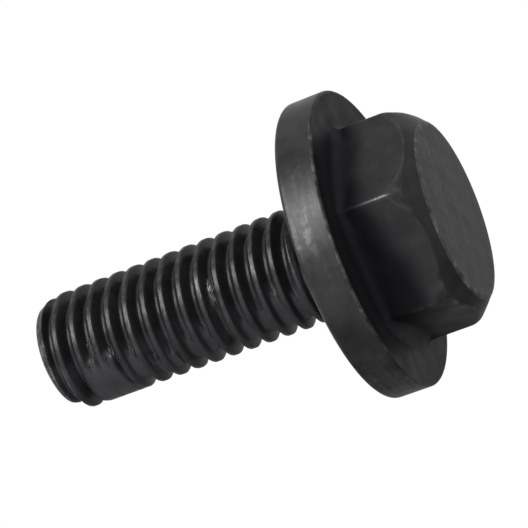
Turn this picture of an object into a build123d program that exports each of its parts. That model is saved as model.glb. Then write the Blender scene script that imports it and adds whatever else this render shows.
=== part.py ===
"""M6 x 16 hexagon flange bolt, forged and rolled in one piece.

The bolt stands on its head. The origin is the centre of the head's flat top,
which lies on the ground plane, and +Z runs along the shank to the tip.
Two corners of the hexagon lie on the X axis. Millimetres and degrees.
"""
from build123d import *
import math
import os

# Hexagon
hex_flats = 9.9  # across flats, for a 10 mm spanner
hex_height = 4.0  # head top to the flange
hex_corner_radius = 0.15  # forged rounding of the six upright edges
top_diameter = 8.9  # flat circle left on the head top by the chamfer
top_chamfer_angle = 44.0  # slope of the chamfer cone, from the head top
hex_root_radius = 0.6  # fillet between the hexagon and the flange

# Flange
flange_diameter = 15.2
flange_thickness = 1.95
flange_front_chamfer = 0.12  # edge on the side of the hexagon
flange_rear_chamfer = 0.2  # edge on the side of the bearing face

# Shank, measured from the bearing face under the flange
shank_length = 16.0
neck_diameter = 5.3
neck_length = 1.3  # plain neck, from the bearing face to the thread's ridge
neck_flare = 0.4  # cone under the head that strengthens the neck
ridge_rise_angle = 60.0  # slope of the ridge's run-out, from square to the axis
groove_lag = 0.25  # how much nearer the tip the groove starts than the ridge
groove_fall_angle = 60.0  # slope of the groove's run-out
tip_diameter = 5.0
tip_chamfer_length = 0.75

# Thread, ISO metric coarse
thread_diameter = 5.94  # over the crests, inside the 6 mm nominal size
thread_pitch = 1.0
crest_flat = thread_pitch / 8
root_flat = thread_pitch / 6
flank_angle = 30.0  # of each flank, from square to the axis
left_handed = True
thread_start_angle = 231.6  # where the crest would meet the bearing face

# Worked out from the sizes above
flank_slope = math.tan(math.radians(flank_angle))
ridge_foot = thread_pitch - root_flat
thread_depth = (ridge_foot - crest_flat) / 2 / flank_slope
thread_radius = thread_diameter / 2
root_radius = thread_radius - thread_depth
flange_radius = flange_diameter / 2
head_height = hex_height + flange_thickness
bolt_length = head_height + shank_length
hex_corner_reach = hex_flats / math.sqrt(3)
chamfer_slope = math.tan(math.radians(top_chamfer_angle))
neck_radius = neck_diameter / 2

tip_radius = tip_diameter / 2
tip_run = tip_chamfer_length / (thread_radius - tip_radius)
ridge_start = head_height + neck_length
rise_run = math.tan(math.radians(ridge_rise_angle))
groove_start = ridge_start + groove_lag
fall_run = math.tan(math.radians(groove_fall_angle))
turn_count = math.ceil(shank_length / thread_pitch)
envelope_radius = thread_radius + 1.0  # clear of the crests
core_overlap = 0.08  # how far inside the core the ridge is rooted
root_depth = neck_radius - root_radius

bearing_face = Plane.XY.offset(head_height)


# One turn of the thread's ridge: its section, rooted a little inside the core,
# is carried once round the helix
with BuildPart() as ridge_turn:
    with BuildLine() as helix:
        Helix(
            pitch=thread_pitch,
            height=thread_pitch,
            radius=root_radius,
            center=(0, 0, head_height),
            lefthand=left_handed,
        )
    with BuildSketch(Plane(origin=helix.line @ 0, x_dir=(1, 0, 0), z_dir=helix.line % 0)):
        with BuildLine():
            Polyline(
                (-core_overlap, ridge_foot / 2 + core_overlap * flank_slope),
                (thread_depth, crest_flat / 2),
                (thread_depth, -crest_flat / 2),
                (-core_overlap, -ridge_foot / 2 - core_overlap * flank_slope),
                close=True,
            )
        make_face()
    sweep(path=helix.line, is_frenet=True)

# The turns stacked round the core, then cut back to where the ridge rises from
# the neck and to the chamfer at the tip
with BuildPart() as thread:
    with BuildSketch(bearing_face):
        Circle(root_radius)
    extrude(amount=shank_length)
    with Locations(
        *[
            Location((0, 0, turn * thread_pitch), (0, 0, thread_start_angle))
            for turn in range(-1, turn_count)
        ]
    ):
        add(ridge_turn.part)
    with BuildSketch(Plane.XZ):
        with BuildLine():
            Polyline(
                (0, ridge_start - root_depth * rise_run),
                (root_radius, ridge_start - root_depth * rise_run),
                (envelope_radius, ridge_start + (envelope_radius - neck_radius) * rise_run),
                (envelope_radius, bolt_length - (envelope_radius - tip_radius) * tip_run),
                (tip_radius, bolt_length),
                (0, bolt_length),
                close=True,
            )
        make_face()
    revolve(axis=Axis.Z, mode=Mode.INTERSECT)

# Hexagon, with its upright edges rounded and its top corners turned off
with BuildPart() as hexagon:
    with BuildSketch():
        RegularPolygon(radius=hex_flats / 2, side_count=6, major_radius=False)
    extrude(amount=head_height - flange_thickness / 2)
    fillet(hexagon.edges().filter_by(Axis.Z), radius=hex_corner_radius)
    with BuildSketch(Plane.XZ):
        cone_reach = hex_corner_reach - top_diameter / 2
        with BuildLine():
            Polyline(
                (0, 0),
                (top_diameter / 2, 0),
                (hex_corner_reach, cone_reach * chamfer_slope),
                (hex_corner_reach, head_height),
                (0, head_height),
                close=True,
            )
        make_face()
    revolve(axis=Axis.Z, mode=Mode.INTERSECT)

# The whole bolt
with BuildPart() as flange_bolt:
    # Flange, neck and the fall into the groove
    with BuildSketch(Plane.XZ) as collar_section:
        with BuildLine():
            Polyline(
                (0, hex_height),
                (flange_radius, hex_height),
                (flange_radius, head_height),
                (neck_radius, head_height),
                (neck_radius, groove_start),
                (root_radius - core_overlap, groove_start + (root_depth + core_overlap) * fall_run),
                (0, groove_start + (root_depth + core_overlap) * fall_run),
                close=True,
            )
        make_face()
        for corner, length in (
            ((flange_radius, hex_height), flange_front_chamfer),
            ((flange_radius, head_height), flange_rear_chamfer),
            ((neck_radius, head_height), neck_flare),
        ):
            chamfer(collar_section.vertices().sort_by_distance(Vector(*corner))[0], length)
    revolve(axis=Axis.Z)
    add(hexagon.part)
    hexagon_foot = (
        flange_bolt.edges()
        .filter_by(GeomType.LINE)
        .filter_by_position(Axis.Z, hex_height, hex_height)
    )
    fillet(hexagon_foot, radius=hex_root_radius)
    add(thread.part)
flange_bolt.part.label = "flange_bolt"

os.makedirs("parts", exist_ok=True)
export_step(flange_bolt.part, "parts/flange_bolt.step")
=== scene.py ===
"""Looks of the M6 x 16 hexagon flange bolt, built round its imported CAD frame.

The bolt stands on its head: +Z runs from the head's flat top to the tip, and two corners
of the hexagon lie on the X axis. Shapes are worked out in millimetres and turned to
metres when a mesh is made. Angles that place wear, oil or residue are in degrees round
the axis, from +X towards +Y.
"""
import math

import bpy
import numpy as np
from mathutils import Matrix, Vector


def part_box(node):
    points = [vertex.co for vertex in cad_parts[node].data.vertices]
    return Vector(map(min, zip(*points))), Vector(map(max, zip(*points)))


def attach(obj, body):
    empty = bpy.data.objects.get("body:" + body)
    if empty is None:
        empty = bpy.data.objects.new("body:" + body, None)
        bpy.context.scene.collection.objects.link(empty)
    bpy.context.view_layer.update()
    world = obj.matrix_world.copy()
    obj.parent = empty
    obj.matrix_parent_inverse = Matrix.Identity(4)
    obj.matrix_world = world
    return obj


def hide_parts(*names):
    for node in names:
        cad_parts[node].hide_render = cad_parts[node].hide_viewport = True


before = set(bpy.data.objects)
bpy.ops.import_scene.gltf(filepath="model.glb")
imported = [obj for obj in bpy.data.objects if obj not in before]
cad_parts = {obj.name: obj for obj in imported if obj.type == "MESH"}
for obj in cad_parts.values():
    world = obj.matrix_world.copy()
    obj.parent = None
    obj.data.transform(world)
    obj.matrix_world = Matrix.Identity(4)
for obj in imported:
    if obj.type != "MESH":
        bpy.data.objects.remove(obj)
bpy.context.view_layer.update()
MM = 0.001
TURN = 2 * math.pi

# Sizes in millimetres. The whole length and the flange's diameter come from the frame;
# the rest repeats the driving sizes of the part's source
node_low, node_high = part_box("flange_bolt")
bolt_length = (node_high.z - node_low.z) / MM
flange_radius = (node_high.x - node_low.x) / MM / 2
hex_flats = 9.9
hex_height = 4.0
top_radius = 8.9 / 2
top_chamfer_slope = math.tan(math.radians(44.0))
flange_thickness = 1.95
head_height = hex_height + flange_thickness
neck_radius = 5.3 / 2
thread_start = 7.25
groove_start = 7.5
runout_slope = math.tan(math.radians(60.0))
thread_radius = 5.94 / 2
thread_pitch = 1.0
crest_half = thread_pitch / 16
root_half = thread_pitch / 12
flank_slope = 1 / math.tan(math.radians(30.0))
thread_depth = (thread_pitch / 2 - crest_half - root_half) * flank_slope
root_radius = thread_radius - thread_depth
left_handed = True
thread_start_angle = math.radians(231.6)
tip_radius = 5.0 / 2
tip_chamfer_length = 0.75

# Rolling and handling have flattened the crest further, on its two sides by these widths
crest_half_headward = 0.14
crest_half_tipward = 0.12

# Rounding of the edges, in millimetres
hex_corner_round = 0.2
top_edge_round = 0.38
chamfer_edge_round = 0.16
worn_vertex_round = 1.1  # where a corner of the hexagon meets the chamfer
hex_foot_round = 0.7
hex_foot_corner_round = 0.3
corner_reach = 0.8  # how far along a flat its corner's roundings are felt
rim_front_round = 0.14
rim_rear_round = 0.2
neck_round = 0.4
crest_round = 0.06
root_round = 0.07
nick_round = 0.03
residue_round = 0.06
tip_chamfer_round = 0.03
tip_edge_round = 0.25

# Unevenness that forging and rolling left: how deep it is and the size of its lumps
forged_swell, forged_lump = 0.02, 1.1
forged_reach, forged_fade = 6.2, 0.4  # it ends on the flange, past this radius
forged_top_margin, forged_foot_margin, forged_edge_fade = 0.25, 0.35, 0.2
rolled_swell, rolled_lump = 0.008, 0.35
crest_clearance = 0.004  # crests stay inside the thread's full radius by this much

# Dried residue in the thread. Each smear has a middle height, a half length, its first and
# last angle, and the share of the groove's depth that it fills
residue_smears = [
    (19.15, 1.4, 140, 285, 1.0),
    (17.3, 0.9, 205, 265, 0.62),
    (15.9, 0.8, 200, 255, 0.7),
    (13.9, 1.0, 200, 262, 0.45),
    (9.4, 1.7, 195, 272, 0.5),
    (7.6, 0.9, 200, 290, 0.6),
    (11.4, 0.7, 195, 250, 0.4),
]
residue_lump = 0.9
smear_waver = 0.1  # wander of a smear's outline, as a share of its reach
fill_end, fill_fade = 0.78, 0.16  # where a smear stops filling, as a share of its reach
fill_swell = 0.02
cover_end, cover_fade = 0.6, 0.45  # where it stops hiding the metal
smear_cover, smear_cover_swing = 0.48, 0.08  # share of the metal that it hides

# A thin dull film hides less of the metal, on one side of the thread
film_start, film_end, film_fade = 180, 262, 18
film_waver, film_waver_lump = 10, 0.8
film_cover, film_cover_swing = 0.36, 0.2
film_lost = 0.4  # share of the film that is gone where a smear lies

# Scraped metal stands up in one groove: place, rise as a share of the groove's depth,
# and extent across and along the groove
nick_height, nick_angle, nick_rise = 12.3, 291, 0.42
nick_half_width, nick_side_fade = 0.12, 0.06
nick_first, nick_last, nick_end_fade = -14, 12, 5  # degrees from its middle
nick_lean = 0.006  # millimetres of height for each degree
nick_level, nick_swing, nick_lump = 0.85, 0.25, 0.25

# A crest stays bare where it stands out of the groove and of the residue by this much
bare_band, bare_band_fade = 0.12, 0.2
bare_stand, bare_stand_fade = 0.04, 0.05
bare_share = 0.5

# Wear on the shank, from 0 for whole black oxide to 1 for bare steel
crest_wear, crest_wear_width, crest_wear_offset = 0.4, 0.11, -0.01  # widths in turns
crest_wear_level, crest_wear_swing, crest_wear_lump = 0.75, 0.35, 0.9
crest_wear_start_fade = 0.5
crest_film_share = 0.75  # share of the wear that the film hides
crest_film_extra, crest_film_fade = 8, 15
tip_wear, tip_wear_low, tip_wear_high, tip_wear_fade = 0.85, 0.42, 0.02, 0.1  # from the end
tip_wear_band = 0.2
nick_wear = 2
end_film = 0.85  # share of the tip's sheared end face that dried oil and dust dull
end_margin, end_fade = 0.01, 0.03

# Wear on the head: along its rounded edges, and on one side of the chamfer more than on
# the other
edge_wear = {"top": 0.8, "chamfer": 0.24, "rim_front": 0.5, "rim_rear": 0.15}
edge_wear_level, edge_wear_swing = 0.72, 0.55
marked_angle, marked_spread, marked_extra = 210, 28, 0.8
spared_angle, spared_spread, spared_share = 272, 24, 0.7
ridge_wear, ridge_width = 0.4, 0.07
ridge_low, ridge_high, ridge_fade = 1.35, 2.1, 0.9
vertex_wear, vertex_width, vertex_height, vertex_length = 0.13, 0.5, 1.15, 0.35
vertex_low, vertex_high, vertex_fade = 4.9, 6, 0.2
top_wear, top_wear_slope, top_wear_swing = 0.12, 0.018, 0.17
large_lump, small_lump = 1.3, 0.5

# Wear on the rim: a little everywhere, much round one angle, and scuffed in bands round
# another
rim_wear, rim_margin, rim_margin_fade = 0.02, 0.05, 0.02
rubbed_wear, rubbed_angle, rubbed_spread = 0.9, 200, 22
scuff_wear, scuff_swing, scuff_angle, scuff_spread = 0.14, 0.22, 297, 16
band_width, band_length_share, band_height_share = 0.9, 0.35, 3

# Painted shade, dark and faintly blue, covers the flats from this height to the hexagon's
# foot, and from nearer the top where X is negative, the side away from the key lamp. It lies
# on the flange's front face too
painted_shade_height, painted_shade_slope, painted_shade_fade = 1.15, 0.25, 1.6
painted_shade_lowest, painted_shade_highest, painted_shade_waver = 0.7, 2.4, 0.15
painted_shade_reach, painted_shade_reach_fade = 6.1, 1.3
painted_shade_beside_share = 0.5  # share of the painted shade that is missing beside the dull flat
face_painted_shade = 0.65
front_margin = 0.05
face_margin, face_fade = 0.1, 0.4

# Painted light, a matt grey film that lifts the shade on the flange's front round the foot, a smudge in it,
# and dull film on the flat beside it
face_painted_light, face_painted_light_reach, face_painted_light_fade = 0.14, 6.2, 1.0
smudge_film, smudge_angle, smudge_radius = 0.14, 203, 6.7
smudge_spread, smudge_width, smudge_waver = 9, 0.7, 0.25
beside_film, beside_angle, beside_spread = 0.08, 205, 24
beside_low, beside_fade = 1.4, 0.3

# Fineness of the mesh
corner_columns = 12
flat_columns = 26
corner_crowding = 0.12  # columns of a flat crowd towards its corners
arc_rows = 8
head_run_rows = [24, 5, 12, 6, 5, 10, 2]
row_margin = 0.03  # a row lies this close to each end of a run
shank_rows_per_turn = 64
tip_rows = 8
crest_columns = [(-0.5, -0.36, 8), (-0.36, -0.16, 9), (-0.16, 0.12, 26), (0.12, 0.36, 9), (0.36, 0.5, 8)]
pole_ring_radius = 0.02
neck_length = 0.9  # from the flange to the joint of the head's grid
shank_gap = 0.1  # between the two grids, bridged by triangles
end_rings = [0.97, 0.5]  # rings on the tip's end face, as shares of its radius

# Camera: a long lens from the side, a little below the head's end of the axis
camera_target = Vector((0.76, 0.123, 10.1)) * MM
camera_distance = 132.17 * MM
camera_azimuth, camera_elevation, camera_roll = 11.6, -18.96, 110.48
camera_lens, camera_sensor = 183.65, 36.0
camera_near, camera_far = 0.005, 10.0

# Lamps: name, direction, distance and side in metres, and radiance, where 1 looks white
lamps = [
    ("key", (0.71, -0.66, 0.25), 0.35, 0.22, 8.0),
    ("top", (-0.3, 0.2, 1.0), 0.4, 0.2, 2.5),
    ("fill", (-0.2, -0.92, 0.32), 0.5, 0.35, 0.6),
]
lamp_aim = Vector((0, 0, 10)) * MM
soft_light = 0.6  # the studio as even light
dim_shine, full_shine = 0.28, 0.85  # the studio in reflections, on its two sides
shine_start, shine_end = -0.85, 0.35  # between these values of X it brightens
floor_half, floor_gap = 3000.0, 0.01
floor_glow = 0.6


def linear(colour):
    """An sRGB hex colour as linear RGBA."""
    values = [int(colour[i : i + 2], 16) / 255 for i in (1, 3, 5)]
    return [v / 12.92 if v <= 0.04045 else ((v + 0.055) / 1.055) ** 2.4 for v in values] + [1.0]


def add_node(tree, kind, inputs=None, out=0, **settings):
    """Adds one node with its settings, and gives back its output. inputs gives each socket
    a value or another node's output, which is linked."""
    made = tree.nodes.new(kind)
    for name, value in settings.items():
        setattr(made, name, value)
    for socket, value in (inputs or {}).items():
        if isinstance(value, bpy.types.NodeSocket):
            tree.links.new(value, made.inputs[socket])
        else:
            made.inputs[socket].default_value = value
    return made.outputs[out] if made.outputs else made


def soft_ramp(x, width):
    """max(x, 0) with its corner replaced by a parabola over the given half width."""
    return np.where(x > width, x, np.where(x > -width, (x + width) ** 2 / (4 * width), 0))


def soft_least(a, b, width):
    """The lesser of two surfaces, with a rounded edge where they cross."""
    return b - soft_ramp(b - a, width)


def soft_most(a, b, width):
    """The greater of two surfaces, with a rounded hollow where they cross."""
    return b + soft_ramp(a - b, width)


def unevenness(x, y, z, size):
    """A smooth wandering value between about -1 and 1 with lumps of the given size: a
    third of the sum of four sine waves that run in different directions."""
    directions = ((1, 0.6, 0.3), (-0.5, 1, 0.7), (0.4, -0.8, 1), (1.3, 1.1, -0.9))
    total = 0
    for number, (a, b, c) in enumerate(directions):
        total = total + np.sin((a * x + b * y + c * z) * TURN / (2 * size) + 1.7 * number)
    return total / 3


def window(x, low, high, fade):
    """1 between low and high, falling smoothly to 0 over the fade outside them."""
    inside = np.minimum(x - low, high - x) / fade + 1
    inside = np.clip(inside, 0, 1)
    return inside * inside * (3 - 2 * inside)


def above(x, low, fade):
    """1 above low, falling smoothly to 0 over the fade below it."""
    return window(x, low, math.inf, fade)


def below(x, high, fade):
    """1 below high, falling smoothly to 0 over the fade above it."""
    return window(x, -math.inf, high, fade)


def bell(x, middle, spread):
    """A bell curve, 1 at its middle and 1/e at the spread on either side."""
    return np.exp(-((x - middle) / spread) ** 2)


def hexagon_outline():
    """The hexagon seen from above, as points at polar angles: each corner is an arc of
    hex_corner_round about a centre on the corner's ray, and straight runs join the arcs."""
    inset = (hex_flats / 2 - hex_corner_round) / math.cos(math.radians(30))
    bend = np.radians(np.linspace(-30, 30, corner_columns))
    arc = np.stack([inset + hex_corner_round * np.cos(bend), hex_corner_round * np.sin(bend)], 1)
    turned = [arc @ np.array([[math.cos(a), math.sin(a)], [-math.sin(a), math.cos(a)]])
              for a in np.radians(np.arange(6) * 60)]
    share = np.linspace(0, 1, flat_columns + 2)[1:-1]
    share = share - corner_crowding * np.sin(TURN * share) / math.pi
    points = []
    for start, following in zip(turned, turned[1:] + turned[:1]):
        points += [start, start[-1] + share[:, None] * (following[0] - start[-1])]
    points = np.concatenate(points)
    return np.arctan2(points[:, 1], points[:, 0]), np.hypot(points[:, 0], points[:, 1])


def from_corner(angles):
    """Distance from the nearest corner of the hexagon, measured along the flat."""
    return (np.mod(angles + math.pi / 6, math.pi / 3) - math.pi / 6) * hex_flats / math.sqrt(3)


def rounded_rows(corners, rounds, run_rows):
    """A profile with rounded corners, as rows for all columns at once. corners is a list
    of (radius, height) arrays, one for each corner; between the two ends each corner is
    replaced by the circular arc of its rounding that touches both runs, written as a
    rational quadratic curve, and each run is divided evenly with a row close to each end.
    Returns the rows, and for each the number of the corner that it rounds, or 0."""
    corners = [np.stack(np.broadcast_arrays(*map(np.asarray, c)), -1).astype(float) for c in corners]
    corners = np.stack(np.broadcast_arrays(*corners))
    before = corners[1:-1] - corners[:-2]
    after = corners[2:] - corners[1:-1]
    before /= np.linalg.norm(before, axis=-1, keepdims=True)
    after /= np.linalg.norm(after, axis=-1, keepdims=True)
    half_turn = np.arccos(np.clip((before * after).sum(-1), -1, 1)) / 2
    reach = (np.stack(rounds) * np.tan(half_turn))[..., None]
    starts = corners[1:-1] - before * reach
    ends = corners[1:-1] + after * reach
    margins = [[[row_margin]]], [[[1 - row_margin]]]
    rows = []
    edges = []
    previous = corners[0]
    for k, (start, middle, end) in enumerate(zip(starts, corners[1:-1], ends)):
        share = np.linspace(0, 1, run_rows[k] + 1)[:-1, None, None]
        share = np.concatenate([share[:1], margins[0], share[1:], margins[1]])
        rows.append(previous + share * (start - previous))
        edges.append(np.zeros(len(share), int))
        t = np.linspace(0, 1, arc_rows)[:-1, None, None]
        weight = np.cos(half_turn[k])[None, :, None]
        share = (1 - t) ** 2 + 2 * weight * t * (1 - t) + t ** 2
        rows.append(((1 - t) ** 2 * start + 2 * weight * t * (1 - t) * middle + t ** 2 * end) / share)
        edges.append(np.full(len(t), k + 1))
        previous = end
    share = np.linspace(0, 1, run_rows[-1] + 1)[:, None, None]
    rows.append(previous + share * (corners[-1] - previous))
    edges.append(np.zeros(len(share), int))
    return np.concatenate(rows), np.concatenate(edges)


def head_grid():
    """The head from the centre of its flat top over the chamfer, the hexagon, the flange
    and the bearing face to the neck: a rounded profile for each column of the hexagon's
    outline. Returns the points, the columns' angles and the edge that each row rounds."""
    angles, reach = hexagon_outline()
    top_edge_height = (reach - top_radius) * top_chamfer_slope
    corners = [(pole_ring_radius, 0.0), (top_radius, 0.0), (reach, top_edge_height), (reach, hex_height),
               (flange_radius, hex_height), (flange_radius, head_height), (neck_radius, head_height),
               (neck_radius, head_height + neck_length)]
    corners = [tuple(np.broadcast_to(np.asarray(v, float), angles.shape) for v in c) for c in corners]
    near_corner = bell(from_corner(angles), 0, corner_reach)
    rounds = {
        "top": top_edge_round,
        "chamfer": chamfer_edge_round + (worn_vertex_round - chamfer_edge_round) * near_corner,
        "foot": hex_foot_round + (hex_foot_corner_round - hex_foot_round) * near_corner,
        "rim_front": rim_front_round,
        "rim_rear": rim_rear_round,
        "neck": neck_round,
    }
    edge_rounds = [np.broadcast_to(r, angles.shape) for r in rounds.values()]
    profile, edge = rounded_rows(corners, edge_rounds, head_run_rows)
    edge = np.array(["run"] + list(rounds))[edge]
    radius, height = profile[..., 0], profile[..., 1]
    x, y = radius * np.cos(angles), radius * np.sin(angles)
    forged = window(height, forged_top_margin, hex_height - forged_foot_margin, forged_edge_fade)
    forged = forged * below(radius, forged_reach, forged_fade)
    swell = -forged_swell * (1 + unevenness(x, y, height, forged_lump)) * forged
    points = np.stack([x + swell * np.cos(angles), y + swell * np.sin(angles), height], -1)
    return points, angles, edge


def head_places(points):
    """For each point of the head: X, Y, height, radius, angle in degrees, distance from the
    nearest corner, and the values of the large and the small lumps."""
    x, y, height = np.moveaxis(points, -1, 0)
    turned = np.degrees(np.mod(np.arctan2(y, x), TURN))
    large = unevenness(x, y, height, large_lump)
    small = unevenness(x, y, height, small_lump)
    return x, y, height, np.hypot(x, y), turned, from_corner(np.radians(turned)), large, small


def head_wear(points, edge):
    """Wear of each point of the head: bells and windows on the edges, the ridges between
    the flats, the worn vertices, the flat top and the rim, each broken up by lumps. The
    greatest of them holds."""
    x, y, height, radius, turned, across, large, small = head_places(points)
    row = np.arange(len(edge))[:, None]
    past_chamfer = row > np.flatnonzero(edge == "chamfer")[3]
    on_top = row < np.flatnonzero(edge == "top")[0]
    ridge = ridge_wear * bell(across, 0, ridge_width) * past_chamfer
    ridge = ridge * window(height, ridge_low, ridge_high, ridge_fade)
    vertex = vertex_wear * bell(across, 0, vertex_width) * bell(height, vertex_height, vertex_length)
    vertex = vertex * window(radius, vertex_low, vertex_high, vertex_fade)
    edges = np.zeros(radius.shape)
    for name, amount in edge_wear.items():
        edges[edge == name] = amount
    marked = marked_extra * bell(turned, marked_angle, marked_spread)
    spared = spared_share * bell(turned, spared_angle, spared_spread)
    edges *= 1 + (marked - spared) * (edge == "chamfer")[:, None]
    edges *= edge_wear_level + edge_wear_swing * small
    top = (top_wear + top_wear_slope * x + top_wear_swing * (small + large)) * on_top
    bands = unevenness(x * band_length_share, y * band_length_share, height * band_height_share, band_width)
    scuffed = bell(turned, scuff_angle, scuff_spread) * (scuff_wear + scuff_swing * bands)
    rubbed = rubbed_wear * bell(turned, rubbed_angle, rubbed_spread)
    rim = above(radius, flange_radius - rim_margin, rim_margin_fade) * (rim_wear + rubbed + scuffed)
    return np.clip(np.maximum.reduce([edges, ridge, vertex, top, rim]), 0, 1)


def head_coats(points):
    """Painted shade and film on each point of the head. The painted shade lies on the flats
    from a height that rises along X down to the foot, and on the flange's front. Film lies on
    that front round the foot, where it is painted light that lifts the shade there, and in the
    smudge, and on the flat beside it."""
    x, y, height, radius, turned, across, large, small = head_places(points)
    on_front = below(height, hex_height + front_margin, front_margin)
    on_face = above(height, hex_height - face_margin, face_fade) * on_front
    beside = np.exp(-((turned - beside_angle) / beside_spread) ** 4)
    # Painted shade: from this start height down to the hexagon's foot, starting nearer the top where X is
    # negative
    painted_shade_start = np.clip(painted_shade_height + painted_shade_slope * x, painted_shade_lowest, painted_shade_highest) + painted_shade_waver * large
    shade_and_oil = above(height, painted_shade_start + painted_shade_fade, painted_shade_fade) * below(radius, painted_shade_reach, painted_shade_reach_fade)
    shade_and_oil = shade_and_oil * on_front * (1 - painted_shade_beside_share * beside)
    shade_and_oil = np.maximum(shade_and_oil, face_painted_shade * on_face)
    smudge = bell(radius, smudge_radius, smudge_width) * bell(turned, smudge_angle, smudge_spread)
    smudge = smudge * np.exp(smudge_waver * small)
    # On the flange's front round the foot the film is painted light, lifting the shade there
    film = on_face * (face_painted_light * below(radius, face_painted_light_reach, face_painted_light_fade) + smudge_film * smudge)
    film = np.maximum(film, beside_film * beside * above(height, beside_low, beside_fade) * on_front)
    return np.clip(shade_and_oil, 0, 1), np.clip(film, 0, 1)


def thread_height(turns):
    """Radius of the thread where its phase is that many turns from the crest: level to the
    crest's worn edge, then a straight flank down to the level root, which it reaches where
    an unworn one does. The corners are rounded by parabolas."""
    offset = (turns - np.round(turns)) * thread_pitch
    edge = np.where(offset > 0, crest_half_tipward, crest_half_headward)
    fall = soft_ramp(np.abs(offset) - edge, crest_round)
    fall = fall * thread_depth / flank_slope / (thread_pitch / 2 - root_half - edge)
    level = soft_ramp(thread_depth / flank_slope - fall, root_round)
    return root_radius + flank_slope * level


def residue_height(angle, height):
    """Radius up to which dried residue fills the grooves, and the share of the thread's
    surface that it hides: smears at chosen places, each an ellipse over angle and height
    with a steep edge that thins out further as a film, and over one side a film that fills
    nothing."""
    x, y = thread_radius * np.cos(angle), thread_radius * np.sin(angle)
    lumps = unevenness(x, y, height, residue_lump)
    fill, cover = np.zeros_like(height), np.zeros_like(height)
    for middle, half_length, low, high, share in residue_smears:
        turned = np.mod(angle - math.radians(low + high) / 2 + math.pi, TURN) - math.pi
        spread = math.radians(high - low) / 2
        reach = np.hypot((height - middle) / half_length, turned / spread) + smear_waver * lumps
        fill = np.maximum(fill, share * below(reach, fill_end, fill_fade))
        cover = np.maximum(cover, below(reach, cover_end, cover_fade))
    turned = np.degrees(np.mod(angle, TURN)) + film_waver * unevenness(x, y, height, film_waver_lump)
    film = window(turned, film_start, film_end, film_fade) * (film_cover + film_cover_swing * lumps)
    smeared = cover * (smear_cover + smear_cover_swing * lumps)
    hidden = np.maximum(smeared, film * (1 - film_lost * cover))
    return root_radius + thread_depth * fill * (1 + fill_swell * lumps), hidden


def nick(angle, height):
    """Share of scraped metal, which stands up in one groove: one leaning patch, uneven."""
    x, y = thread_radius * np.cos(angle), thread_radius * np.sin(angle)
    turned = np.degrees(np.mod(angle, TURN)) - nick_angle
    across = height - nick_height + nick_lean * turned
    patch = window(across, -nick_half_width, nick_half_width, nick_side_fade)
    patch = patch * window(turned, nick_first, nick_last, nick_end_fade)
    return patch * (nick_level + nick_swing * unevenness(x, y, height, nick_lump))


def shank_surface(angle, height, turns):
    """Radius of the shank at an angle and a height, and the share of residue there: the
    thread with the nick in its groove and the residue laid over it, held below the cones
    on which it rises from the neck and ends at the tip, and above the cone on which its
    groove falls in."""
    radius = thread_height(turns)
    x, y = thread_radius * np.cos(angle), thread_radius * np.sin(angle)
    rising = neck_radius + np.maximum(height - thread_start, 0) / runout_slope
    falling = neck_radius - np.maximum(height - groove_start, 0) / runout_slope
    ending = tip_radius + (bolt_length - height) * (thread_radius - tip_radius) / tip_chamfer_length
    residue, hidden = residue_height(angle, height)
    radius = radius + rolled_swell * unevenness(x, y, height, rolled_lump)
    raised = root_radius + nick_rise * thread_depth * nick(angle, height)
    radius = soft_most(raised, radius, nick_round)
    bare = above(radius - root_radius, thread_depth - bare_band, bare_band_fade)
    bare = bare * above(radius - residue, bare_stand, bare_stand_fade)
    radius = soft_most(residue, radius, residue_round)
    radius = np.maximum(np.minimum(radius, rising), falling)
    radius = soft_least(radius, ending, tip_chamfer_round)
    radius = soft_least(radius, thread_radius - crest_clearance, crest_clearance)
    return radius, hidden * (1 - bare_share * bare)


def shank_grid():
    """The shank from the neck to the tip: each column keeps its own place across the
    thread, so the rows turn as they climb. The tip's edge is a quarter of an arc, with
    rings inside it on the end face. Returns points, angles, turns from the crest and the
    share of residue."""
    phase = np.concatenate([np.linspace(a, b, n, endpoint=False) for a, b, n in crest_columns])
    even = np.arange(len(phase)) / len(phase) - 0.5
    first = head_height + neck_length + shank_gap
    heights = np.arange(first, bolt_length - tip_edge_round, thread_pitch / shank_rows_per_turn)
    sense = -1 if left_handed else 1
    lead = thread_start_angle + sense * TURN * (heights - head_height) / thread_pitch
    settled = np.clip((heights - heights[0]) / (thread_start - heights[0]), 0, 1)[:, None]
    turns = even + settled * (phase - even)
    around = lead[:, None] + TURN * turns
    level = np.broadcast_to(heights[:, None], around.shape)
    turns = turns if left_handed else -turns
    radius, residue = shank_surface(around, level, turns)
    bend = np.linspace(0, math.pi / 2, tip_rows)[1:, None]
    rim = radius[-1:] - tip_edge_round * (1 - np.cos(bend))
    radius = np.concatenate([radius, rim] + [rim[-1:] * share for share in end_rings])
    rise = np.concatenate([np.sin(bend)[:, 0], np.ones(len(end_rings))])
    rise = heights[-1] + (bolt_length - heights[-1]) * rise
    level = np.concatenate([level, np.repeat(rise[:, None], len(phase), 1)])
    around, turns, residue = (np.concatenate([v, np.repeat(v[-1:], len(rise), 0)])
                              for v in (around, turns, residue))
    points = np.stack([radius * np.cos(around), radius * np.sin(around), level], -1)
    return points, around, turns, residue


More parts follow.
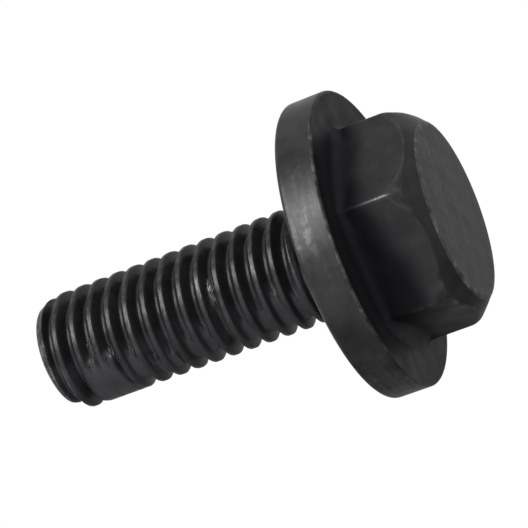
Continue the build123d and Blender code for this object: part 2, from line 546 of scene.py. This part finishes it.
def shank_finish(points, angles, turns, residue):
    """Wear, oil and residue of each point of the shank. Crests are worn in a bell across
    them, less on the filmed side; the tip's chamfer and the nick are bare; the end face is
    dulled all over."""
    height, radius = points[..., 2], np.hypot(points[..., 0], points[..., 1])
    crest = bell(turns, crest_wear_offset, crest_wear_width)
    crest = crest * above(height, thread_start, crest_wear_start_fade)
    lumps = unevenness(*np.moveaxis(points, -1, 0), crest_wear_lump)
    crest = crest * (crest_wear_level + crest_wear_swing * lumps)
    turned = np.degrees(np.mod(angles, TURN))
    filmed = window(turned, film_start, film_end + crest_film_extra, crest_film_fade)
    crest = crest * (1 - crest_film_share * filmed)
    tip = window(height, bolt_length - tip_wear_low, bolt_length - tip_wear_high, tip_wear_fade)
    tip = tip * above(radius, tip_radius - tip_wear_band, tip_wear_band)
    scraped = nick_wear * nick(angles, height)
    wear = np.clip(np.maximum.reduce([crest_wear * crest, tip_wear * tip, scraped]), 0, 1)
    end_face = above(height, bolt_length - end_margin, end_fade)
    return wear, end_face, np.maximum(residue, end_film * end_face)


def grid_faces(first, rows, columns):
    """Quads of a grid that closes round its columns, facing away from the axis when the
    rows climb and the columns run anticlockwise."""
    row, column = np.mgrid[0 : rows - 1, 0:columns]
    following = (column + 1) % columns
    low, high = first + row * columns, first + (row + 1) * columns
    corners = [low + column, low + following, high + following, high + column]
    return np.stack(corners, -1).reshape(-1, 4)


def joined_rings(first_a, angles_a, first_b, angles_b):
    """Triangles between two rings with different numbers of points: each edge of one ring
    is joined to the point of the other that its middle is passing."""
    def middles(angles):
        """The angle halfway along each edge of a ring."""
        following = angles + np.mod(np.roll(angles, -1) - angles, TURN)
        return np.mod((angles + following) / 2, TURN)

    def passed(others, angles):
        """The point of a ring that lies after the last of its edges' middles that each of
        the other angles has passed."""
        own = middles(angles)
        order = np.argsort(own)
        count = np.searchsorted(own[order], others)
        return np.mod(order[np.mod(count - 1, len(own))] + 1, len(own))

    a, b = np.arange(len(angles_a)), np.arange(len(angles_b))
    passed_b = first_b + passed(middles(angles_a), angles_b)
    passed_a = first_a + passed(middles(angles_b), angles_a)
    of_a = np.stack([first_a + a, first_a + np.roll(a, -1), passed_b], 1)
    of_b = np.stack([first_b + np.roll(b, -1), first_b + b, passed_a], 1)
    return np.concatenate([of_a, of_b])


def mesh_object(name, points, faces, attributes, material_of_face, materials):
    """A smooth mesh object at the origin from points in millimetres and lists of faces."""
    mesh = bpy.data.meshes.new(name)
    mesh.from_pydata((points * MM).tolist(), [], [f for part in faces for f in part.tolist()])
    for key, values in attributes.items():
        mesh.attributes.new(key, "FLOAT", "POINT").data.foreach_set("value", values.astype(np.float32))
    mesh.polygons.foreach_set("use_smooth", np.ones(len(mesh.polygons), bool))
    for material in materials:
        mesh.materials.append(material)
    mesh.polygons.foreach_set("material_index", material_of_face.astype(np.int32))
    mesh.update()
    made = bpy.data.objects.new(name, mesh)
    bpy.context.scene.collection.objects.link(made)
    return made


def bolt_skin(forged, turned, rolled):
    """The bolt's whole skin as one closed mesh: the head's grid and the shank's grid are
    joined on the neck, and a pole closes each end. The three materials are for the head,
    the flange's rim and the shank."""
    head, head_angles, edge = head_grid()
    shank, shank_angles, turns, residue = shank_grid()
    head_rows, head_columns = head.shape[:2]
    shank_rows, shank_columns = shank.shape[:2]
    poles = np.array([[0, 0, 0], [0, 0, bolt_length]])
    points = np.concatenate([head.reshape(-1, 3), shank.reshape(-1, 3), poles])
    first_shank = head_rows * head_columns
    top_pole = first_shank + shank_rows * shank_columns
    top_ring = np.arange(head_columns)
    end_ring = top_pole - shank_columns + np.arange(shank_columns)
    faces = [
        grid_faces(0, head_rows, head_columns),
        grid_faces(first_shank, shank_rows, shank_columns),
        joined_rings(first_shank - head_columns, head_angles, first_shank, shank_angles[0]),
        np.stack([np.full(head_columns, top_pole), np.roll(top_ring, -1), top_ring], 1),
        np.stack([np.full(shank_columns, top_pole + 1), end_ring, np.roll(end_ring, -1)], 1),
    ]

    # Each attribute holds the head's points, the shank's, and the two poles
    shank_wear, shank_oil, shank_residue = shank_finish(shank, shank_angles, turns, residue)
    head_painted_shade, head_film_and_painted_light = head_coats(head)
    head_lay = head[..., 2] + np.minimum(np.hypot(head[..., 0], head[..., 1]), top_radius)
    attributes = {
        "wear": np.concatenate([head_wear(head, edge).ravel(), shank_wear.ravel(), [0, 0]]),
        "lay": np.concatenate([head_lay.ravel(), (turns * thread_pitch).ravel(), [0, 0]]) * MM,
        # The next attribute holds painted light on the flange's front round the foot, the head's smudge and
        # film, and the shank's residue
        "residue": np.concatenate([head_film_and_painted_light.ravel(), shank_residue.ravel(), [0, end_film]]),
        # The next attribute holds painted shade on the head and dried oil on the tip's end face
        "shade_and_oil": np.concatenate([head_painted_shade.ravel(), shank_oil.ravel(), [0, 1]]),
    }
    materials = [forged, turned, rolled]
    rim_rows = np.flatnonzero((edge == "rim_front") | (edge == "rim_rear"))
    row = np.repeat(np.arange(head_rows - 1), head_columns)
    on_rim = (row >= rim_rows[0]) & (row <= rim_rows[-1])
    chosen = [np.where(on_rim, materials.index(turned), materials.index(forged))]
    for part, material in zip(faces[1:], (rolled, rolled, forged, rolled)):
        chosen.append(np.full(len(part), materials.index(material)))
    return mesh_object("bolt_skin", points, faces, attributes, np.concatenate(chosen), materials)


# Finish of black oxide: sizes of its soft mottling and of its rubbed patches
mottling_mm, patch_mm = 1.1, 0.28
# A factor and an offset each spread a noise over 0 to 1 with more contrast
patch_contrast, mark_contrast, mottling_contrast = (3.2, -1.1), (6.0, -2.6), (3.0, -1.0)
worn_swing, worn_least = 0.7, 0.5
# The first colour here is painted shade on the head and oil on the tip's end; the last is residue, and
# painted light on the flange's front
shade_and_oil_colour, bare_steel, residue_and_painted_light_grey = "#131317", "#8b8a88", "#535357"
coat_metallic = 0.5
mottling_roughness = 0.3
residue_roughness, worn_roughness, shade_and_oil_roughness = 0.2, 0.1, 0.14
coat_specular, coat_tint = 0.15, (0.55, 0.55, 0.55, 1.0)


def black_oxide(name, shades, roughness, even_share, mark_mm, mark_length_mm, mark_depth_mm,
                grain_depth_mm, grain_mm=0.1):
    """Black oxide, a thin conversion coating on steel, kept with oil: nearly black with a
    soft metallic gloss, worn through to grey steel where wear says so, darker and faintly
    blue under painted shade at the head's foot and under oil on the tip's end, and matt grey
    under dried residue and under painted light on the flange's front round the foot. shades
    are its darker and its lighter colour, even_share is the part of the wear that patches and
    marks leave unbroken, mark_mm is the spacing of the marks that the shaping left along the
    lay, and grain_mm that of the skin's grain."""
    material = bpy.data.materials.new(name)
    material.use_nodes = True
    tree = material.node_tree
    tree.nodes.clear()
    place = add_node(tree, "ShaderNodeTexCoord", out="Object")
    wear = add_node(tree, "ShaderNodeAttribute", out="Fac", attribute_name="wear")
    lay = add_node(tree, "ShaderNodeAttribute", out="Fac", attribute_name="lay")
    residue = add_node(tree, "ShaderNodeAttribute", out="Fac", attribute_name="residue")
    # This attribute is painted shade on the head, and oil on the tip's end face
    shade_and_oil = add_node(tree, "ShaderNodeAttribute", out="Fac", attribute_name="shade_and_oil")

    # Long marks: noise that is stretched along the lay and fine across it
    around = add_node(tree, "ShaderNodeVectorMath", {0: place, 1: (1, 1, 0)}, operation="MULTIPLY")
    stretched = add_node(tree, "ShaderNodeMath", {0: lay, 1: mark_length_mm / mark_mm},
                         operation="MULTIPLY")
    across = add_node(tree, "ShaderNodeCombineXYZ", {"Z": stretched})
    along = add_node(tree, "ShaderNodeVectorMath", {0: around, 1: across}, operation="ADD")
    marks = add_node(tree, "ShaderNodeTexNoise", out="Fac", inputs={
        "Vector": along, "Scale": 1 / (mark_length_mm * MM), "Detail": 3.0})
    grain = add_node(tree, "ShaderNodeTexNoise", out="Fac", inputs={
        "Vector": place, "Scale": 1 / (grain_mm * MM), "Detail": 2.0})
    mottling = add_node(tree, "ShaderNodeTexNoise", out="Fac", inputs={
        "Vector": place, "Scale": 1 / (mottling_mm * MM), "Detail": 4.0})
    patches = add_node(tree, "ShaderNodeTexNoise", out="Fac", inputs={
        "Vector": place, "Scale": 1 / (patch_mm * MM), "Detail": 3.0})

    # Worn share: patches and marks break up what the wear attribute gives
    rubbed, broken, uneven = (
        add_node(tree, "ShaderNodeMath", {0: noise, 1: factor, 2: offset}, operation="MULTIPLY_ADD",
                 use_clamp=True)
        for noise, (factor, offset) in (
            (patches, patch_contrast), (marks, mark_contrast), (mottling, mottling_contrast)))
    left = add_node(tree, "ShaderNodeMath", {0: rubbed, 1: broken}, operation="MULTIPLY")
    left = add_node(tree, "ShaderNodeMath", {0: left, 1: 1 - even_share, 2: even_share},
                    operation="MULTIPLY_ADD")
    strength = add_node(tree, "ShaderNodeMath", {0: uneven, 1: worn_swing, 2: worn_least},
                        operation="MULTIPLY_ADD")
    strength = add_node(tree, "ShaderNodeMath", {0: left, 1: strength}, operation="MULTIPLY")
    worn = add_node(tree, "ShaderNodeMath", {0: wear, 1: strength}, operation="MULTIPLY", use_clamp=True)
    bare = add_node(tree, "ShaderNodeMath", {0: 1.0, 1: residue}, operation="SUBTRACT")

    # Colour: the oxide's two shades, then painted shade (oil on the tip's end), bare steel, and residue or
    # painted light over it
    colour = linear(shades[0])
    for share, covering in ((uneven, shades[1]), (shade_and_oil, shade_and_oil_colour), (worn, bare_steel),
                            (residue, residue_and_painted_light_grey)):
        colour = add_node(tree, "ShaderNodeMix", {"Factor": share, "A": colour, "B": linear(covering)},
                          out="Result", data_type="RGBA")
    metal = add_node(tree, "ShaderNodeMath", {0: worn, 1: 1 - coat_metallic, 2: coat_metallic},
                     operation="MULTIPLY_ADD")
    metal = add_node(tree, "ShaderNodeMath", {0: metal, 1: bare}, operation="MULTIPLY")

    # Roughness: mottling sways it about its value, and each coat adds to it
    rough = roughness - mottling_roughness / 2
    for share, added in ((mottling, mottling_roughness), (residue, residue_roughness),
                         (worn, worn_roughness), (shade_and_oil, shade_and_oil_roughness)):
        rough = add_node(tree, "ShaderNodeMath", {0: share, 1: added, 2: rough}, operation="MULTIPLY_ADD")

    relief = add_node(tree, "ShaderNodeMath", {0: marks, 1: bare}, operation="MULTIPLY")
    marked = add_node(tree, "ShaderNodeBump", {
        "Height": relief, "Strength": 1.0, "Distance": mark_depth_mm * MM})
    bump = add_node(tree, "ShaderNodeBump", {
        "Height": grain, "Strength": 1.0, "Distance": grain_depth_mm * MM, "Normal": marked})
    shader = add_node(tree, "ShaderNodeBsdfPrincipled", {
        "Base Color": colour, "Metallic": metal, "Roughness": rough, "Specular IOR Level": coat_specular,
        "Specular Tint": coat_tint, "Normal": bump})
    add_node(tree, "ShaderNodeOutputMaterial", {"Surface": shader})
    return material


def forged_oxide():
    """The head as the forging dies left it: smooth, with a fine skin and hardly a mark."""
    return black_oxide("black_oxide_forged", ("#2a2a2b", "#353536"), roughness=0.36, even_share=0.35,
                       mark_mm=0.3, mark_length_mm=0.8, mark_depth_mm=0.002, grain_depth_mm=0.003)


def turned_oxide():
    """The flange's rim, turned to size: a little lighter, and long bright lines run round
    it, drawn wider apart than the tool's feed so that they show."""
    return black_oxide("black_oxide_turned", ("#2d2d2e", "#393939"), roughness=0.33, even_share=0.2,
                       mark_mm=0.16, mark_length_mm=3.0, mark_depth_mm=0.006, grain_depth_mm=0.003)


def rolled_oxide():
    """The thread, rolled between dies: glossier, with marks that follow the helix, drawn
    wider apart than on the real thread so that they show."""
    return black_oxide("black_oxide_rolled", ("#2a2a2b", "#353536"), roughness=0.27, even_share=0.08,
                       mark_mm=0.12, mark_length_mm=0.7, mark_depth_mm=0.013, grain_depth_mm=0.002)


def camera():
    """The camera, looking at its target: forward comes from azimuth and elevation, and up
    and right are turned about it by the roll."""
    azimuth, elevation = math.radians(camera_azimuth), math.radians(camera_elevation)
    roll = math.radians(camera_roll)
    forward = -Vector((math.sin(azimuth) * math.cos(elevation), -math.cos(azimuth) * math.cos(elevation),
                       math.sin(elevation)))
    upright = (Vector((0, 0, 1)) - forward * forward.z).normalized()
    up = upright * math.cos(roll) + forward.cross(upright) * math.sin(roll)
    turn = Matrix((forward.cross(up), up, -forward)).transposed().to_4x4()
    data = bpy.data.cameras.new("camera")
    data.lens, data.sensor_width = camera_lens, camera_sensor
    data.clip_start, data.clip_end = camera_near, camera_far
    made = bpy.data.objects.new("camera", data)
    made.matrix_world = Matrix.Translation(camera_target - forward * camera_distance) @ turn
    bpy.context.scene.collection.objects.link(made)
    bpy.context.scene.camera = made


def softbox(name, direction, distance, side, radiance):
    """A square lamp panel facing the bolt's middle from a direction."""
    data = bpy.data.lights.new(name, "AREA")
    data.shape = "SQUARE"
    data.size = side
    data.energy = radiance * math.pi * side * side
    lamp = bpy.data.objects.new(name, data)
    away = Vector(direction).normalized()
    lamp.location = lamp_aim + away * distance
    lamp.rotation_mode = "QUATERNION"
    lamp.rotation_quaternion = away.to_track_quat("Z", "Y")
    bpy.context.scene.collection.objects.link(lamp)


def studio():
    """White wherever the camera looks. In reflections the studio is pale on the side of
    the key lamp and dim on the other side; as soft light it is even."""
    made = bpy.data.worlds.new("studio")
    made.use_nodes = True
    tree = made.node_tree
    tree.nodes.clear()
    seen = add_node(tree, "ShaderNodeLightPath", out="Is Camera Ray")
    glossy = add_node(tree, "ShaderNodeLightPath", out="Is Glossy Ray")
    through = add_node(tree, "ShaderNodeLightPath", out="Is Transmission Ray")
    direction = add_node(tree, "ShaderNodeTexCoord", out="Generated")
    side = add_node(tree, "ShaderNodeSeparateXYZ", {0: direction}, out="X")
    shine = add_node(tree, "ShaderNodeMapRange", interpolation_type="SMOOTHSTEP", inputs={
        "Value": side, "From Min": shine_start, "From Max": shine_end, "To Min": dim_shine,
        "To Max": full_shine})
    white, even, mirrored = (
        add_node(tree, "ShaderNodeBackground", {"Color": (1, 1, 1, 1), "Strength": strength})
        for strength in (1.0, soft_light, shine))
    sharp = add_node(tree, "ShaderNodeMath", {0: glossy, 1: through}, operation="MAXIMUM")
    indirect = add_node(tree, "ShaderNodeMixShader", {0: sharp, 1: even, 2: mirrored})
    mix = add_node(tree, "ShaderNodeMixShader", {0: seen, 1: indirect, 2: white})
    add_node(tree, "ShaderNodeOutputWorld", {"Surface": mix})
    bpy.context.scene.world = made


def floor():
    """A pale floor under the head that only the camera sees, and only from above."""
    points = np.array([[-1, -1, 0], [1, -1, 0], [1, 1, 0], [-1, 1, 0]]) * floor_half
    material = bpy.data.materials.new("pale_floor")
    material.use_nodes = True
    tree = material.node_tree
    tree.nodes.clear()
    seen = add_node(tree, "ShaderNodeLightPath", out="Is Camera Ray")
    under = add_node(tree, "ShaderNodeNewGeometry", out="Backfacing")
    over = add_node(tree, "ShaderNodeMath", {0: 1.0, 1: under}, operation="SUBTRACT")
    shown = add_node(tree, "ShaderNodeMath", {0: seen, 1: over}, operation="MULTIPLY")
    matt = add_node(tree, "ShaderNodeBsdfDiffuse", {"Color": linear("#f2f2f2")})
    glow = add_node(tree, "ShaderNodeEmission", {"Color": (1, 1, 1, 1), "Strength": 1.0})
    pale = add_node(tree, "ShaderNodeMixShader", {0: floor_glow, 1: matt, 2: glow})
    clear = add_node(tree, "ShaderNodeBsdfTransparent")
    mix = add_node(tree, "ShaderNodeMixShader", {0: shown, 1: clear, 2: pale})
    add_node(tree, "ShaderNodeOutputMaterial", {"Surface": mix})
    made = mesh_object("floor", points, [np.array([[0, 1, 2, 3]])], {}, np.zeros(1), [material])
    made.location.z = -floor_gap * MM


bpy.context.scene.view_settings.view_transform = "Standard"
bolt = bolt_skin(forged_oxide(), turned_oxide(), rolled_oxide())
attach(bolt, "root")
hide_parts("flange_bolt")
floor()
studio()
camera()
for lamp in lamps:
    softbox(*lamp)
